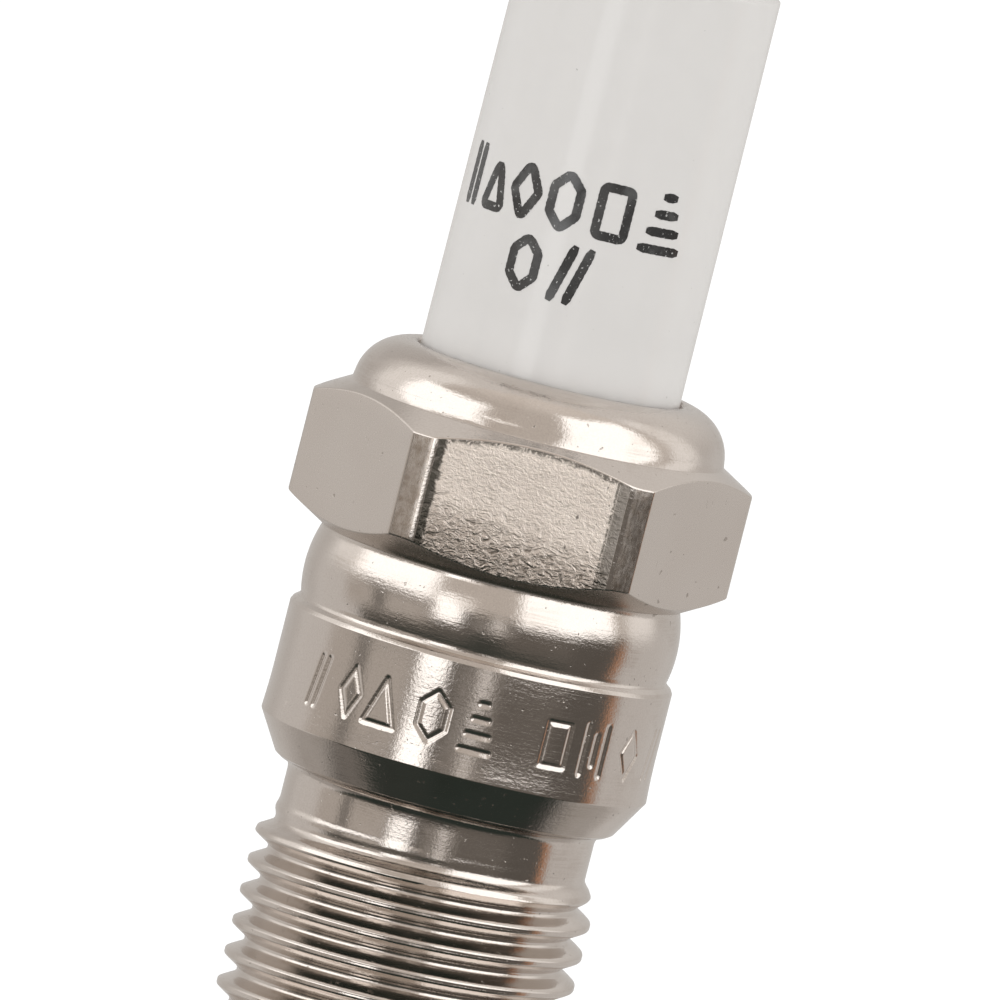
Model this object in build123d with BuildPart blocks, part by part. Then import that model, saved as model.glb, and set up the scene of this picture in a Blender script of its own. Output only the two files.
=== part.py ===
"""Conical-seat spark plug, M14 x 1.25, 25 mm reach, 16 mm hexagon, fine-wire tip.

Every separate piece of the plug is one solid. Lengths are in millimetres.
The Z axis is the plug's axis. z = 0 is the gauge plane of the conical seat,
where the cone is 14.8 mm across, and +Z points to the terminal.
"""

from build123d import *
from math import cos, radians, sin, sqrt, tan
import os

os.makedirs("parts", exist_ok=True)

# Conical seat and the collar above it
seat_gauge_radius = 7.4
seat_half_angle = 31.5
seat_foot_z = -0.85
seat_top_z = 0.66
collar_radius = 7.74
collar_flare_z = 1.5
collar_top_z = 5.05

# Buckle ring: the thin wall that bulges when the shell is pressed
buckle_low_z = 5.45
buckle_mid_z = 6.68
buckle_high_z = 8.26
buckle_low_radius = 7.41
buckle_mid_radius = 7.54
buckle_high_radius = 7.26

# Hexagon
hex_across_flats = 15.85
hex_corner_radius = 8.88
hex_chamfer_angle = 30.0
hex_under_z = 8.34
hex_under_radius = 7.28
hex_top_z = 14.16
hex_top_radius = 7.55

# Crimped lip: a quarter ring rolled in against the insulator
lip_centre_radius = 5.53
lip_centre_z = 14.25
lip_outer_bend = 1.96
lip_inner_bend = 0.84
lip_edge_radius = 5.29
lip_edge_low_z = 15.25
lip_edge_high_z = 15.95
lip_edge_chamfer_radius = 5.36
lip_edge_chamfer_z = 16.14
lip_root_z = 13.9
lip_root_chamfer_z = 13.6

# Threaded reach
reach = 25.0
thread_major_radius = 6.86
thread_root_radius = 6.22
thread_pitch = 1.25
thread_crest_width = 0.17
thread_top_z = -2.9
thread_full_z = -3.9
thread_groove_z = -0.28
thread_groove_turns = 21
thread_groove_length = 24.3
end_chamfer = 0.7
shank_fillet = 0.45
shank_top_z = -0.97

# Inside of the shell
upper_bore_radius = 6.1
buckle_bore_radius = 6.35
lower_bore_radius = 4.15
ledge_bore_radius = 3.65
firing_bore_radius = 4.6
shoulder_top_z = 3.0
shoulder_low_z = 1.35
ledge_z = -11.5
ledge_angle = 30.0
ledge_low_z = -13.8
firing_bore_z = -14.35

# Insulator
insulator_radius = 5.24
insulator_top_radius = 5.14
insulator_top_z = 44.2
insulator_tip_z = -26.5
insulator_tip_radius = 2.3
insulator_tip_round = 0.3
insulator_taper_z = 16.0
flange_radius = 6.0
flange_low_z = 3.2
flange_high_z = 11.4
flange_shoulder_z = 12.0
body_radius = 4.05
body_top_z = 1.55
nose_radius = 3.3
top_round = 1.2
rib_count = 5
rib_pitch = 2.1
rib_first_z = 33.4
rib_groove_radius = 1.0
rib_groove_depth = 0.45
stud_bore_radius = 2.0
electrode_bore_radius = 1.3
bore_step_z = -9.0
bore_step_height = 0.4

# Packings between shell and insulator
washer_thickness = 0.3
ring_wire_radius = 0.39
upper_ring_wire_radius = 0.37
lower_ring_z = 12.2
upper_ring_z = 14.66
talc_clearance = 0.03

# Stack in the insulator's bore
seal_radius = 1.985
lower_seal_top_z = -4.62
resistor_top_z = 5.58
upper_seal_top_z = 9.3
face_gap = 0.02
fit_gap = 0.01

# Terminal stud, M4 x 0.7
stud_radius = 1.75
stud_foot_z = 7.0
stud_knurl_radius = 1.55
stud_knurl_top_z = 9.35
stud_knurl_groove_radius = 0.12
stud_knurl_count = 4
stud_knurl_pitch = 0.5
stud_flange_radius = 3.3
stud_flange_top_z = 45.0
stud_thread_radius = 1.98
stud_thread_root = 1.57
stud_thread_pitch = 0.7
stud_thread_crest = 0.09
stud_thread_z = 45.7
stud_groove_z = 45.4
stud_top_z = 52.4
stud_chamfer = 0.42

# Terminal nut
nut_bore_radius = 2.05
nut_low_z = 45.02
nut_base_radius = 3.3
nut_base_top_z = 46.5
nut_waist_radius = 2.65
nut_waist_low_z = 47.2
nut_waist_top_z = 48.3
nut_head_radius = 3.175
nut_head_z = 48.95
nut_top_z = 53.0
nut_top_round = 0.75
nut_chamfer = 0.15
nut_bore_chamfer = 0.25

# Centre electrode
electrode_radius = 1.25
electrode_head_radius = 1.85
electrode_head_top_z = -8.2
electrode_nipple_radius = 1.4
electrode_top_z = -6.6
electrode_cone_z = -26.9
electrode_end_z = -27.8
electrode_end_radius = 0.55
core_radius = 0.65
core_end_z = -24.5
tip_radius = 0.3
tip_end_z = -28.6
tip_embedded = 0.5

# Ground electrode
spark_gap = 0.9
strap_width = 2.7
strap_thickness = 1.3
strap_radius = 5.4
strap_bend = 2.3
strap_overhang = 1.25
strap_corner = 0.55
strap_core_width = 1.3
strap_core_thickness = 0.5
strap_core_end_x = 1.5
pad_radius = 0.45
pad_proud = 0.2
pad_embedded = 0.3

# Values that follow from the driving dimensions
end_z = -reach
seat_slope = tan(radians(seat_half_angle))
chamfer_slope = tan(radians(hex_chamfer_angle))
ledge_slope = tan(radians(ledge_angle))
hex_low_corner_z = hex_under_z + (hex_corner_radius - hex_under_radius) * chamfer_slope
hex_high_corner_z = hex_top_z - (hex_corner_radius - hex_top_radius) * chamfer_slope
packing_radius = (insulator_radius + upper_bore_radius) / 2
tip_face_z = tip_end_z - spark_gap
strap_inner_z = tip_face_z - pad_proud
strap_centre_z = strap_inner_z - strap_thickness / 2


def seat_radius(z):
    """Radius of the sealing cone at height z."""
    return seat_gauge_radius + z * seat_slope


def ledge_height(r):
    """Height of the sloping ledge, inside the shell, at radius r."""
    return ledge_z - (lower_bore_radius - r) * ledge_slope


def on_circle(centre, radius, angle):
    """Point of a circle in a half-section, at an angle in degrees."""
    return (
        centre[0] + radius * cos(radians(angle)),
        centre[1] + radius * sin(radians(angle)),
    )


def thread_groove(major, root, pitch, crest, start_z, length):
    """Helical space between the 60 degree flanks of a right-hand external thread.

    The groove crosses the +X axis at start_z, and its floor is at the root radius.
    """
    flank = tan(radians(30))
    overshoot = 0.25
    half_mouth = (pitch - crest) / 2 + overshoot * flank
    half_floor = (pitch - crest) / 2 - (major - root) * flank
    with BuildPart() as groove:
        with BuildLine() as path:
            Helix(pitch=pitch, height=length, radius=root, center=(0, 0, start_z))
        with BuildSketch(Plane.XZ):
            with BuildLine():
                Polyline(
                    (root, start_z - half_floor),
                    (major + overshoot, start_z - half_mouth),
                    (major + overshoot, start_z + half_mouth),
                    (root, start_z + half_floor),
                    close=True,
                )
            make_face()
        sweep(path=path.line, is_frenet=True)
    return groove.part


# The grooves start clear of the threaded end and run out in the thread's relief.
shell_groove = thread_groove(
    thread_major_radius,
    thread_root_radius,
    thread_pitch,
    thread_crest_width,
    thread_groove_z - thread_groove_turns * thread_pitch,
    thread_groove_length,
)
stud_groove = thread_groove(
    stud_thread_radius,
    stud_thread_root,
    stud_thread_pitch,
    stud_thread_crest,
    stud_groove_z,
    stud_top_z - stud_flange_top_z,
)

# Shell: seat, collar, buckle ring, hexagon, crimped lip and threaded reach
lip_centre = (lip_centre_radius, lip_centre_z)
fillet_centre = (thread_root_radius + shank_fillet, shank_top_z - shank_fillet)
with BuildPart() as shell:
    with BuildSketch(Plane.XZ):
        with BuildLine():
            Polyline(
                (firing_bore_radius, end_z),
                (thread_major_radius - end_chamfer, end_z),
                (thread_major_radius, end_z + end_chamfer),
                (thread_major_radius, thread_full_z),
                (thread_root_radius, thread_top_z),
                on_circle(fillet_centre, shank_fillet, 180),
            )
            ThreePointArc(
                on_circle(fillet_centre, shank_fillet, 180),
                on_circle(fillet_centre, shank_fillet, 135),
                on_circle(fillet_centre, shank_fillet, 90),
            )
            Polyline(
                on_circle(fillet_centre, shank_fillet, 90),
                (seat_radius(seat_foot_z), seat_foot_z),
                (seat_radius(seat_top_z), seat_top_z),
                (collar_radius, collar_flare_z),
                (collar_radius, collar_top_z),
                (buckle_low_radius, buckle_low_z),
            )
            ThreePointArc(
                (buckle_low_radius, buckle_low_z),
                (buckle_mid_radius, buckle_mid_z),
                (buckle_high_radius, buckle_high_z),
            )
            Polyline(
                (buckle_high_radius, buckle_high_z),
                (hex_under_radius, hex_under_z),
                (hex_corner_radius, hex_low_corner_z),
                (hex_corner_radius, hex_high_corner_z),
                (hex_top_radius, hex_top_z),
                (lip_centre_radius + lip_outer_bend, hex_top_z),
                on_circle(lip_centre, lip_outer_bend, 0),
            )
            ThreePointArc(
                on_circle(lip_centre, lip_outer_bend, 0),
                on_circle(lip_centre, lip_outer_bend, 45),
                on_circle(lip_centre, lip_outer_bend, 92),
            )
            Polyline(
                on_circle(lip_centre, lip_outer_bend, 92),
                (lip_edge_chamfer_radius, lip_edge_chamfer_z),
                (lip_edge_radius, lip_edge_high_z),
                (lip_edge_radius, lip_edge_low_z),
                on_circle(lip_centre, lip_inner_bend, 103),
            )
            ThreePointArc(
                on_circle(lip_centre, lip_inner_bend, 103),
                on_circle(lip_centre, lip_inner_bend, 45),
                on_circle(lip_centre, lip_inner_bend, 0),
            )
            Polyline(
                on_circle(lip_centre, lip_inner_bend, 0),
                (lip_centre_radius + lip_inner_bend, lip_root_z),
                (upper_bore_radius, lip_root_chamfer_z),
                (upper_bore_radius, buckle_high_z),
            )
            ThreePointArc(
                (upper_bore_radius, buckle_high_z),
                (buckle_bore_radius, buckle_mid_z),
                (upper_bore_radius, buckle_low_z),
            )
            Polyline(
                (upper_bore_radius, buckle_low_z),
                (upper_bore_radius, shoulder_top_z),
                (lower_bore_radius, shoulder_low_z),
                (lower_bore_radius, ledge_z),
                (ledge_bore_radius, ledge_height(ledge_bore_radius)),
                (ledge_bore_radius, ledge_low_z),
                (firing_bore_radius, firing_bore_z),
                (firing_bore_radius, end_z),
            )
        make_face()
    revolve(axis=Axis.Z)
    with BuildSketch(Plane.XY.offset(hex_under_z - 0.1)):
        Circle(hex_corner_radius + 2)
        RegularPolygon(
            radius=hex_across_flats / 2,
            side_count=6,
            major_radius=False,
            mode=Mode.SUBTRACT,
        )
    extrude(amount=hex_top_z - hex_under_z + 0.2, mode=Mode.SUBTRACT)
    add(shell_groove, mode=Mode.SUBTRACT)
shell.part.label = "shell"

# Insulator: nose, seat shoulder, flange, barrel, ribs and stepped bore
seat_shoulder_rise = washer_thickness / cos(radians(ledge_angle))
with BuildPart() as insulator:
    with BuildSketch(Plane.XZ):
        with BuildLine():
            tip_centre = (insulator_tip_radius - insulator_tip_round, insulator_tip_z + insulator_tip_round)
            top_centre = (insulator_top_radius - top_round, insulator_top_z - top_round)
            Line((electrode_bore_radius, insulator_tip_z), on_circle(tip_centre, insulator_tip_round, 270))
            ThreePointArc(
                on_circle(tip_centre, insulator_tip_round, 270),
                on_circle(tip_centre, insulator_tip_round, 315),
                on_circle(tip_centre, insulator_tip_round, 0),
            )
            Polyline(
                on_circle(tip_centre, insulator_tip_round, 0),
                (nose_radius, ledge_height(nose_radius) + seat_shoulder_rise),
                (body_radius, ledge_height(body_radius) + seat_shoulder_rise),
                (body_radius, body_top_z),
                (flange_radius, flange_low_z),
                (flange_radius, flange_high_z),
                (insulator_radius, flange_shoulder_z),
                (insulator_radius, insulator_taper_z),
                on_circle(top_centre, top_round, 0),
            )
            ThreePointArc(
                on_circle(top_centre, top_round, 0),
                on_circle(top_centre, top_round, 45),
                on_circle(top_centre, top_round, 90),
            )
            Polyline(
                on_circle(top_centre, top_round, 90),
                (stud_bore_radius, insulator_top_z),
                (stud_bore_radius, bore_step_z),
                (electrode_bore_radius, bore_step_z - bore_step_height),
                (electrode_bore_radius, insulator_tip_z),
            )
        make_face()
    revolve(axis=Axis.Z)
    with BuildSketch(Plane.XZ):
        groove_centre = insulator_top_radius - rib_groove_depth + rib_groove_radius
        for rib in range(rib_count):
            with Locations((groove_centre, rib_first_z + rib * rib_pitch)):
                Circle(rib_groove_radius)
    revolve(axis=Axis.Z, mode=Mode.SUBTRACT)
insulator.part.label = "insulator"

# Conical washer between the shell's ledge and the insulator's seat shoulder
washer_inner = ledge_bore_radius + face_gap
washer_outer = lower_bore_radius - face_gap
washer_rise = seat_shoulder_rise - fit_gap
with BuildPart() as insulator_seat_washer:
    with BuildSketch(Plane.XZ):
        with BuildLine():
            Polyline(
                (washer_inner, ledge_height(washer_inner)),
                (washer_outer, ledge_height(washer_outer)),
                (washer_outer, ledge_height(washer_outer) + washer_rise),
                (washer_inner, ledge_height(washer_inner) + washer_rise),
                close=True,
            )
        make_face()
    revolve(axis=Axis.Z)
insulator_seat_washer.part.label = "insulator_seat_washer"

# Wire ring on the insulator's flange
with BuildPart() as lower_packing_ring:
    with BuildSketch(Plane.XZ):
        with Locations((packing_radius, lower_ring_z)):
            Circle(ring_wire_radius)
    revolve(axis=Axis.Z)
lower_packing_ring.part.label = "lower_packing_ring"

# Wire ring under the crimped lip
with BuildPart() as upper_packing_ring:
    with BuildSketch(Plane.XZ):
        with Locations((packing_radius, upper_ring_z)):
            Circle(upper_ring_wire_radius)
    revolve(axis=Axis.Z)
upper_packing_ring.part.label = "upper_packing_ring"

# Pressed talc powder between the two rings
talc_low_z = lower_ring_z + ring_wire_radius
talc_high_z = upper_ring_z - ring_wire_radius
with BuildPart() as talc_packing:
    with BuildSketch(Plane.XY.offset(talc_low_z)):
        Circle(upper_bore_radius - talc_clearance)
        Circle(insulator_radius + talc_clearance, mode=Mode.SUBTRACT)
    extrude(amount=talc_high_z - talc_low_z)
talc_packing.part.label = "talc_packing"

# Terminal stud: grooved foot, stem, flange and threaded end
with BuildPart() as terminal_stud:
    with BuildSketch(Plane.XZ):
        with BuildLine():
            Polyline(
                (0, stud_foot_z),
                (stud_knurl_radius, stud_foot_z),
                (stud_knurl_radius, stud_knurl_top_z),
                (stud_radius, stud_knurl_top_z + 0.2),
                (stud_radius, insulator_top_z),
                (stud_flange_radius, insulator_top_z),
                (stud_flange_radius, stud_flange_top_z),
                (stud_thread_root, stud_flange_top_z),
                (stud_thread_root, stud_thread_z),
                (stud_thread_radius, stud_thread_z + stud_chamfer),
                (stud_thread_radius, stud_top_z - stud_chamfer),
                (stud_thread_radius - stud_chamfer, stud_top_z),
                (0, stud_top_z),
                close=True,
            )
        make_face()
    revolve(axis=Axis.Z)
    with BuildSketch(Plane.XZ):
        for ring in range(1, stud_knurl_count + 1):
            with Locations((stud_knurl_radius, stud_foot_z + ring * stud_knurl_pitch)):
                Circle(stud_knurl_groove_radius)
    revolve(axis=Axis.Z, mode=Mode.SUBTRACT)
    add(stud_groove, mode=Mode.SUBTRACT)
terminal_stud.part.label = "terminal_stud"

# Terminal nut: base, waist for the cap's spring clip, and head
with BuildPart() as terminal_nut:
    with BuildSketch(Plane.XZ):
        with BuildLine():
            head_centre = (nut_head_radius - nut_top_round, nut_top_z - nut_top_round)
            Polyline(
                (nut_bore_radius + nut_bore_chamfer, nut_low_z),
                (nut_base_radius - nut_chamfer, nut_low_z),
                (nut_base_radius, nut_low_z + nut_chamfer),
                (nut_base_radius, nut_base_top_z - nut_chamfer),
                (nut_base_radius - nut_chamfer, nut_base_top_z),
                (nut_waist_radius, nut_waist_low_z),
                (nut_waist_radius, nut_waist_top_z),
                (nut_head_radius - nut_chamfer, nut_head_z - nut_chamfer),
                (nut_head_radius, nut_head_z),
                on_circle(head_centre, nut_top_round, 0),
            )
            ThreePointArc(
                on_circle(head_centre, nut_top_round, 0),
                on_circle(head_centre, nut_top_round, 45),
                on_circle(head_centre, nut_top_round, 90),
            )
            Polyline(
                on_circle(head_centre, nut_top_round, 90),
                (nut_bore_radius + nut_bore_chamfer, nut_top_z),
                (nut_bore_radius, nut_top_z - nut_bore_chamfer),
                (nut_bore_radius, nut_low_z + nut_bore_chamfer),
                (nut_bore_radius + nut_bore_chamfer, nut_low_z),
            )
        make_face()
    revolve(axis=Axis.Z)
terminal_nut.part.label = "terminal_nut"

# Conductive glass around the stud's foot
with BuildPart() as upper_glass_seal:
    with BuildSketch(Plane.XY.offset(resistor_top_z + face_gap)):
        Circle(seal_radius)
    extrude(amount=upper_seal_top_z - resistor_top_z - face_gap)
    with BuildSketch(Plane.XY.offset(stud_foot_z - face_gap)):
        Circle(stud_knurl_radius + face_gap)
    extrude(amount=upper_seal_top_z - stud_foot_z + 1, mode=Mode.SUBTRACT)
upper_glass_seal.part.label = "upper_glass_seal"

# Resistor: a sintered rod of glass and carbon
with BuildPart() as resistor:
    with BuildSketch(Plane.XY.offset(lower_seal_top_z + face_gap)):
        Circle(seal_radius)
    extrude(amount=resistor_top_z - lower_seal_top_z - face_gap)
resistor.part.label = "resistor"

# Conductive glass around the centre electrode's head
with BuildPart() as lower_glass_seal:
    with BuildSketch(Plane.XY.offset(electrode_head_top_z + face_gap)):
        Circle(seal_radius)
    extrude(amount=lower_seal_top_z - electrode_head_top_z - face_gap)
    with BuildSketch(Plane.XY.offset(electrode_head_top_z)):
        Circle(electrode_nipple_radius + face_gap)
    extrude(amount=electrode_top_z - electrode_head_top_z + face_gap, mode=Mode.SUBTRACT)
lower_glass_seal.part.label = "lower_glass_seal"

# Centre electrode: nickel-alloy jacket, open at the head for its copper core
with BuildPart() as centre_electrode:
    with BuildSketch(Plane.XZ):
        with BuildLine():
            Polyline(
                (0, electrode_end_z),
                (electrode_end_radius, electrode_end_z),
                (electrode_radius, electrode_cone_z),
                (electrode_radius, bore_step_z - bore_step_height + face_gap),
                (electrode_head_radius, bore_step_z + face_gap),
                (electrode_head_radius, electrode_head_top_z),
                (electrode_nipple_radius, electrode_head_top_z),
                (electrode_nipple_radius, electrode_top_z),
                (0, electrode_top_z),
                close=True,
            )
        make_face()
    revolve(axis=Axis.Z)
    with BuildSketch(Plane.XY.offset(core_end_z - fit_gap)):
        Circle(core_radius + fit_gap)
    extrude(amount=electrode_top_z - core_end_z + 1, mode=Mode.SUBTRACT)
    with BuildSketch(Plane.XY.offset(electrode_end_z)):
        Circle(tip_radius + fit_gap)
    extrude(amount=tip_embedded + fit_gap, mode=Mode.SUBTRACT)
centre_electrode.part.label = "centre_electrode"

# Copper core of the centre electrode, rounded at its lower end
with BuildPart() as centre_electrode_copper_core:
    with BuildSketch(Plane.XY.offset(core_end_z)):
        Circle(core_radius)
    extrude(amount=electrode_top_z - core_end_z)
    lowest_edge = centre_electrode_copper_core.edges().sort_by(Axis.Z)[0]
    fillet(lowest_edge, radius=0.8 * core_radius)
centre_electrode_copper_core.part.label = "centre_electrode_copper_core"

# Iridium wire welded into the centre electrode's end
with BuildPart() as iridium_tip:
    with BuildSketch(Plane.XY.offset(tip_end_z)):
        Circle(tip_radius)
    extrude(amount=electrode_end_z + tip_embedded - tip_end_z)
iridium_tip.part.label = "iridium_tip"

# Centre line of the ground electrode: down from the shell, then in under the tip
bend_start = (strap_radius, 0, strap_centre_z + strap_bend)
bend_middle = (
    strap_radius - strap_bend + strap_bend * sqrt(0.5),
    0,
    strap_centre_z + strap_bend - strap_bend * sqrt(0.5),
)
bend_end = (strap_radius - strap_bend, 0, strap_centre_z)


def strap_bar(width, thickness, end_x):
    """Rectangular bar along the ground electrode's centre line, as far as end_x."""
    with BuildPart() as bar:
        with BuildLine() as centre_line:
            Line((strap_radius, 0, end_z), bend_start)
            ThreePointArc(bend_start, bend_middle, bend_end)
            Line(bend_end, (end_x, 0, strap_centre_z))
        with BuildSketch(Plane.XY.offset(end_z)):
            with Locations((strap_radius, 0)):
                Rectangle(thickness, width)
        sweep(path=centre_line.line)
    return bar.part


strap = strap_bar(strap_width, strap_thickness, -strap_overhang)
strap_hollow = strap_bar(
    strap_core_width + 2 * fit_gap,
    strap_core_thickness + 2 * fit_gap,
    strap_core_end_x,
)
strap_core = strap_bar(strap_core_width, strap_core_thickness, strap_core_end_x + fit_gap)

# Ground electrode, with a pocket for the pad and a hollow for its copper core
with BuildPart() as ground_electrode:
    add(strap)
    free_end = ground_electrode.faces().sort_by(Axis.X)[0]
    chamfer(free_end.edges().filter_by(Axis.Z), length=strap_corner)
    add(strap_hollow, mode=Mode.SUBTRACT)
    with BuildSketch(Plane.XY.offset(strap_inner_z - pad_embedded - fit_gap)):
        Circle(pad_radius + fit_gap)
    extrude(amount=pad_embedded + 1, mode=Mode.SUBTRACT)
ground_electrode.part.label = "ground_electrode"

# Copper core of the ground electrode
with BuildPart() as ground_electrode_copper_core:
    add(strap_core)
ground_electrode_copper_core.part.label = "ground_electrode_copper_core"

# Platinum pad facing the iridium tip
with BuildPart() as platinum_pad:
    with BuildSketch(Plane.XY.offset(strap_inner_z - pad_embedded)):
        Circle(pad_radius)
    extrude(amount=pad_embedded + pad_proud)
platinum_pad.part.label = "platinum_pad"

pieces = (
    shell,
    insulator,
    insulator_seat_washer,
    lower_packing_ring,
    upper_packing_ring,
    talc_packing,
    terminal_stud,
    terminal_nut,
    upper_glass_seal,
    resistor,
    lower_glass_seal,
    centre_electrode,
    centre_electrode_copper_core,
    iridium_tip,
    ground_electrode,
    ground_electrode_copper_core,
    platinum_pad,
)
for piece in pieces:
    export_step(piece.part, f"parts/{piece.part.label}.step")
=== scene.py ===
"""Looks of a conical-seat spark plug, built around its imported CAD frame.

Lengths named in this script are millimetres, and meshes are made in metres.
The plug's axis is Z, z = 0 is the seat's gauge plane, and angles round the axis
are counted from the front, -Y, positive towards +X.
"""

import bmesh
import bpy
import cmath
import math
import numpy as np
from dataclasses import dataclass
from mathutils import Matrix, Vector


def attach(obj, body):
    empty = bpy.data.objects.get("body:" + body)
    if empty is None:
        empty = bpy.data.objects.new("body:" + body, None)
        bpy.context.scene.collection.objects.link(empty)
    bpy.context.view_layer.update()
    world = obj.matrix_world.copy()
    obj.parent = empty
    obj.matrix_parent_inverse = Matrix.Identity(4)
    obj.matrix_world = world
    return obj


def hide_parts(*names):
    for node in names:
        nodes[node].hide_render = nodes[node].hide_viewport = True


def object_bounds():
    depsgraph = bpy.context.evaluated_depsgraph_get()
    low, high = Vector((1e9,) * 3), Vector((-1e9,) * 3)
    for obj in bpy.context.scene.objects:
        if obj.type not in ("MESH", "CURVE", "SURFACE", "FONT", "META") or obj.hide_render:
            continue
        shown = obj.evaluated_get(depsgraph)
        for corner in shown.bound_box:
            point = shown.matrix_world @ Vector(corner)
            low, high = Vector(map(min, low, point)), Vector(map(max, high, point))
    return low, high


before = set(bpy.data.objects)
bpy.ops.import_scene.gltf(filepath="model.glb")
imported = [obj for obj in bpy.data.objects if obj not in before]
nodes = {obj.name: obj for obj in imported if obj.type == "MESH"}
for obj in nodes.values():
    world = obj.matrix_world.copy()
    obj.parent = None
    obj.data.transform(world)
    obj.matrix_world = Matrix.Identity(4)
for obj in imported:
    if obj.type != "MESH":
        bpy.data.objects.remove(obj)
cad_low, cad_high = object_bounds()

MM = 0.001
BODY = "plug"
NUT_BODY = "terminal_nut"

# Shell, the same dimensions as its CAD solid
SEAT_GAUGE_R = 7.4
SEAT_SLOPE = math.tan(math.radians(31.5))
SEAT_FOOT_Z = -0.85
SEAT_TOP_Z = 0.66
COLLAR_R = 7.74
COLLAR_FLARE_Z = 2.6
COLLAR_TOP_Z = 5.05
COLLAR_STEP = ((7.66, 5.20), (7.47, 5.34))
BUCKLE = ((7.41, 5.45), (7.54, 6.68), (7.26, 8.26))
HEX_FLAT_R = 7.925
HEX_CORNER_R = 8.88
HEX_CHAMFER_SLOPE = math.tan(math.radians(30))
FLAT_SHOULDER = 3.35
FLAT_SHOULDER_BEND = 9.0
FLAT_CROWN = 0.036
FLAT_CROWN_Z = 8.8
FLAT_CROWN_HEIGHT = 2.1
HEX_UNDER = (7.28, 8.34)
HEX_TOP = (7.55, 14.16)
LIP_CENTRE = (5.53, 14.25)
LIP_BEND = 1.96
LIP_FOOT_SLOPE = 9.0
LIP_CHAMFER = (5.36, 16.14)
LIP_EDGE_R = 5.29
LIP_EDGE_Z = 15.95
THREAD_R = 6.86
THREAD_ROOT_R = 6.22
THREAD_PITCH = 1.25
THREAD_CREST_Z = 0.345
THREAD_TOP_Z = -2.55
THREAD_RUNOUT = 1.65
SHANK_Z = -1.7
SHANK_TOP_Z = -0.97
SHANK_FILLET = 0.45
REACH = 25.0
END_CHAMFER = 0.7
UPPER_BORE_R = 6.1
LIP_BORE_R = 6.37
NOSE_BORE_R = 4.15
LEDGE_R = 3.65
FIRING_BORE_R = 4.6

# Insulator
CERAMIC_R = 5.24
CERAMIC_TOP_R = 5.14
CERAMIC_TAPER_Z = 16.0
CERAMIC_TOP_Z = 44.2
CERAMIC_TOP_ROUND = 1.2
RIB_COUNT = 5
RIB_PITCH = 2.1
RIB_FIRST_Z = 33.4
RIB_GROOVE_R = 1.0
RIB_GROOVE_DEPTH = 0.45
FLANGE_R = 6.0
NOSE_R = 4.05
NOSE_END_Z = -26.5
STEM_BORE_R = 2.0
WIRE_BORE_R = 1.3

# Terminal stud and nut
STUD_FOOT_Z = 7.0
STUD_FOOT_R = 1.55
STUD_STEM_R = 1.75
STUD_FLANGE_R = 3.3
STUD_FLANGE_Z = 45.0
STUD_THREAD_R = 1.98
STUD_ROOT_R = 1.57
STUD_PITCH = 0.7
STUD_CREST_Z = 45.75
STUD_NECK_Z = 45.7
STUD_TOP_Z = 52.4
NUT_LOW_Z = 45.02
NUT_TOP_Z = 53.0
NUT_BORE_R = 2.05
NUT_BASE_R = 3.3
NUT_WAIST_R = 2.65
NUT_HEAD_R = 3.175

# Firing end
ELECTRODE_R = 1.25
ELECTRODE_HEAD_R = 1.85
ELECTRODE_END_Z = -27.8
CORE_R = 0.66
CORE_END_Z = -24.51
TIP_R = 0.3
TIP_END_Z = -28.6
SPARK_GAP = 0.9
STRAP_WIDTH = 2.7
STRAP_THICKNESS = 1.3
STRAP_R = 5.4
STRAP_BEND = 2.3
STRAP_OVERHANG = 1.25
STRAP_CORNER = 0.55
STRAP_EDGE = 0.14
PAD_R = 0.45
PAD_PROUD = 0.2
WELD_COLOUR = (0.46, 0.43, 0.39)
WELD_RIPPLE = 0.012


# ---- mesh helpers
def mesh_object(name, verts, faces, materials, smooth=True, sharp=45.0):
    """A mesh object from points in millimetres, its faces turned outwards."""
    mesh = bpy.data.meshes.new(name)
    mesh.from_pydata([tuple(MM * c for c in v) for v in verts], [], faces)
    mesh.validate()
    made = bmesh.new()
    made.from_mesh(mesh)
    bmesh.ops.recalc_face_normals(made, faces=made.faces)
    made.to_mesh(mesh)
    made.free()
    if smooth:
        mesh.shade_smooth()
        mesh.set_sharp_from_angle(angle=math.radians(sharp))
    for material in materials:
        mesh.materials.append(material)
    obj = bpy.data.objects.new(name, mesh)
    bpy.context.scene.collection.objects.link(obj)
    return obj


def polar(radius, angle, z):
    """Point at an angle from the front, in degrees."""
    a = math.radians(angle)
    return (radius * math.sin(a), -radius * math.cos(a), z)


def arc(centre, radius, start, end, steps):
    """Points of a circle in a half-section, from one angle to another in degrees."""
    angles = [math.radians(start + (end - start) * i / steps) for i in range(steps + 1)]
    return [(centre[0] + radius * math.cos(a), centre[1] + radius * math.sin(a)) for a in angles]


def arc_through(first, middle, last, steps):
    """Points of the circle through three points of a half-section."""
    a, b, c = (complex(*point) for point in (first, middle, last))
    turn = (c - a) / (b - a)
    centre = a + (b - a) * (turn - abs(turn) ** 2) / (2j * turn.imag)
    start, end = (math.degrees(cmath.phase(point - centre)) for point in (a, c))
    return arc((centre.real, centre.imag), abs(a - centre), start, end, steps)


def rounded(points, radii, steps=4):
    """A polyline with its corners rounded: radii has one value for each inner point."""
    out = [points[0]]
    for before, corner, after, radius in zip(points, points[1:], points[2:], radii):
        if radius <= 0:
            out.append(corner)
            continue
        b, a = np.subtract(before, corner), np.subtract(after, corner)
        lb, la = np.linalg.norm(b), np.linalg.norm(a)
        b, a = b / lb, a / la
        half = math.acos(np.clip(b @ a, -1, 1)) / 2
        reach = min(radius / math.tan(half), 0.45 * lb, 0.45 * la)
        for t in np.linspace(0, 1, steps + 1):
            out.append(tuple(np.array(corner) + b * reach * (1 - t) ** 2 + a * reach * t ** 2))
    return out + [points[-1]]


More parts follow.
